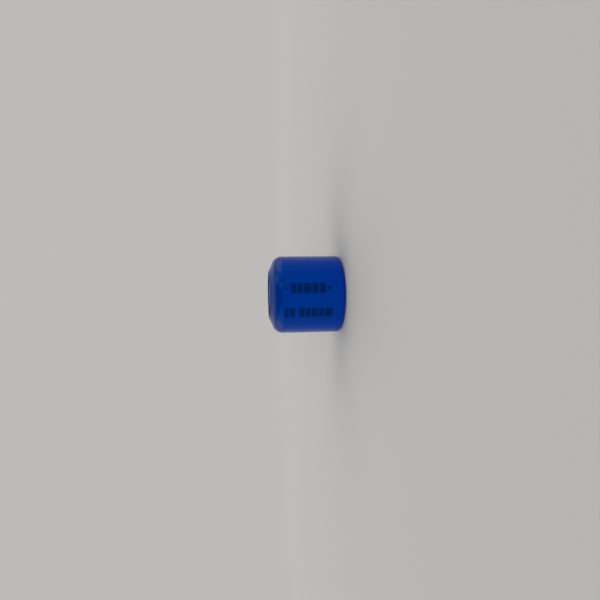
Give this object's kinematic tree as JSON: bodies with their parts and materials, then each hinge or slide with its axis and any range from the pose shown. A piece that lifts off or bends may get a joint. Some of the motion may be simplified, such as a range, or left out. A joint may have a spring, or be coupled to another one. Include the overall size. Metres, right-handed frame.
{
  "type": "lithium camera battery",
  "caption": "Short cylindrical lithium cell: crimped steel can with a wound electrode roll, flat contacts at both ends and a shrunk blue film sleeve.",
  "frame": {"origin": "centre of the positive contact face, on which the cell stands", "axes": "+Z along the cell's axis towards the negative contact; the printed marks on the sleeve face -Y"},
  "size_m": [0.0116, 0.0116, 0.0108],
  "materials": {
    "blue_film": "glossy shrunk film, saturated blue",
    "ink": "dark navy printing ink",
    "can_steel": "nickel-plated deep-drawn steel",
    "gasket_plastic": "natural polypropylene",
    "cap_steel": "nickel-plated pressed steel",
    "insulator_plastic": "natural polypropylene sheet",
    "cathode_mix": "pressed black manganese dioxide mix",
    "lithium_metal": "soft rolled lithium foil",
    "separator_film": "white microporous film",
    "tab_nickel": "nickel strip"
  },
  "bodies": {
    "root": {"sleeve": "blue_film", "sleeve_print": "ink", "can": "can_steel", "gasket": "gasket_plastic", "cap": "cap_steel", "top_insulator": "insulator_plastic", "bottom_insulator": "insulator_plastic", "cathode_strip": "cathode_mix", "lithium_strip": "lithium_metal", "inner_separator": "separator_film", "outer_separator": "separator_film", "anode_tab": "tab_nickel", "cathode_tab": "tab_nickel"}
  },
  "joints": []
}
